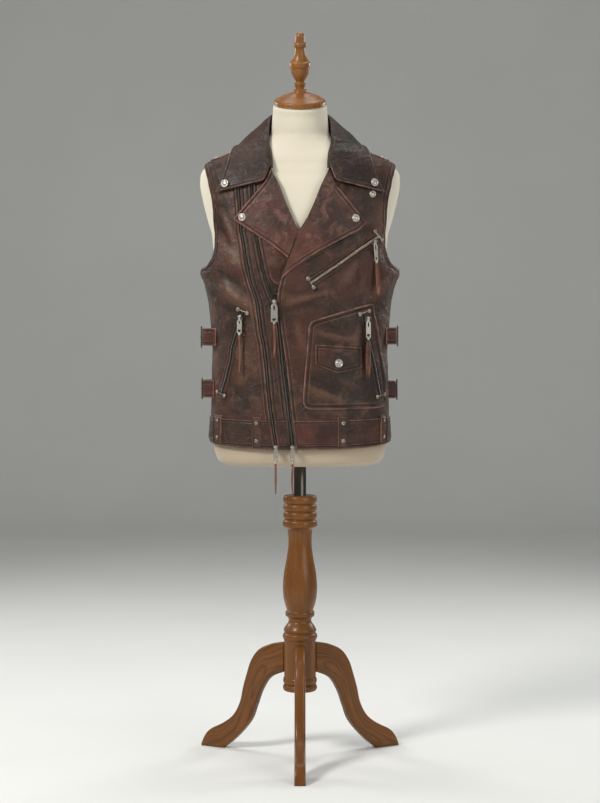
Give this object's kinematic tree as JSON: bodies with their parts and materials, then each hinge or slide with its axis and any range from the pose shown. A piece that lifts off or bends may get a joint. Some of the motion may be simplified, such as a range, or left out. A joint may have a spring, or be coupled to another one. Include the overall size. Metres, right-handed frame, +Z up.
{
  "type": "leather vest on a dress form stand",
  "caption": "Sleeveless leather biker vest with an off-centre zip, notched collar, zipped pockets and a waist belt, worn by a cloth dress form on a turned wooden tripod stand.",
  "frame": {"origin": "on the floor, at the middle of the tripod's footprint box", "axes": "+Z up, the vest's front faces -Y, +X to the viewer's right"},
  "size_m": [0.4376, 0.379, 1.5345],
  "materials": {
    "leather": "worn dark brown leather, half gloss",
    "leather_red": "worn reddish brown leather",
    "zip": "aged metal zip on dark tape",
    "nickel": "antique nickel",
    "form_cloth": "tight cream jersey",
    "wood": "lacquered oak, warm brown",
    "honey_wood": "lacquered turned wood, honey brown",
    "chrome": "polished steel tube"
  },
  "bodies": {
    "stand": {"column": "wood", "leg_front": "wood", "leg_left": "wood", "leg_right": "wood"},
    "mast": {"pole": "chrome"},
    "figure": {"back_panel": "leather", "left_front": "leather", "front_strip": "leather", "underlap": "leather", "right_front": "leather", "lapel_left": "leather", "lapel_right": "leather", "collar": "leather", "shoulder_strap_left": "leather", "shoulder_strap_right": "leather", "belt_left": "leather", "belt_strip": "leather", "belt_back": "leather", "belt_loop_1": "leather", "belt_loop_2": "leather", "belt_loop_3": "leather", "belt_loop_4": "leather", "belt_loop_5": "leather", "pocket_patch": "leather", "pocket_flap": "leather", "armhole_binding_left": "leather_red", "armhole_binding_right": "leather_red", "belt_right": "leather_red", "side_strap_left_upper": "leather_red", "side_strap_left_lower": "leather_red", "side_strap_right_upper": "leather_red", "side_strap_right_lower": "leather_red", "buckle_left_upper": "nickel", "buckle_left_lower": "nickel", "buckle_right_upper": "nickel", "buckle_right_lower": "nickel", "snap_collar_left": "nickel", "snap_collar_right": "nickel", "snap_lapel_left": "nickel", "snap_lapel_right": "nickel", "zip_outer": "zip", "zip_main": "zip", "zip_chest": "zip", "zip_hand_left": "zip", "zip_hand_right": "zip", "dress_form": "form_cloth", "neck_cap": "honey_wood"},
    "pull_hem_left": {"pull_hem_left": "nickel", "thong_hem_left": "leather_red"},
    "pull_main": {"pull_main": "nickel", "thong_main": "leather_red"},
    "pull_hem_right": {"pull_hem_right": "nickel", "thong_hem_right": "leather_red"},
    "pull_chest": {"pull_chest": "nickel", "thong_chest": "leather_red"},
    "pull_hand_left": {"pull_hand_left": "nickel", "thong_hand_left": "leather_red"},
    "pull_hand_right": {"pull_hand_right": "nickel", "thong_hand_right": "leather_red"}
  },
  "joints": [
    {"name": "mast_slide", "type": "slide", "parent": "stand", "child": "mast", "axis": [0, 0, 1], "range_m": [-0.04, 0.12]},
    {"name": "form_swivel", "type": "hinge", "parent": "mast", "child": "figure", "pos_m": [0, 0.05652, 0.631], "axis": [0, 0, 1], "continuous": true},
    {"name": "pull_hem_left_hinge", "type": "hinge", "parent": "figure", "child": "pull_hem_left", "pos_m": [-0.05021, -0.06941, 0.67418], "axis": [-0.9955, 0.0949, 0], "range_deg": [0, 140]},
    {"name": "pull_main_hinge", "type": "hinge", "parent": "figure", "child": "pull_main", "pos_m": [-0.05309, -0.07415, 0.97471], "axis": [-0.9943, 0.1065, 0], "range_deg": [0, 140]},
    {"name": "pull_hem_right_hinge", "type": "hinge", "parent": "figure", "child": "pull_hem_right", "pos_m": [-0.01547, -0.07126, 0.67389], "axis": [-0.9998, 0.018, 0], "range_deg": [0, 140]},
    {"name": "pull_chest_hinge", "type": "hinge", "parent": "figure", "child": "pull_chest", "pos_m": [0.1559, -0.0408, 1.1002], "axis": [-0.821, -0.5709, 0], "range_deg": [0, 140]},
    {"name": "pull_hand_left_hinge", "type": "hinge", "parent": "figure", "child": "pull_hand_left", "pos_m": [-0.12527, -0.05578, 0.94367], "axis": [-0.9129, 0.4083, 0], "range_deg": [0, 140]},
    {"name": "pull_hand_right_hinge", "type": "hinge", "parent": "figure", "child": "pull_hand_right", "pos_m": [0.14147, -0.0511, 0.94048], "axis": [-0.8671, -0.4981, 0], "range_deg": [0, 140]}
  ]
}
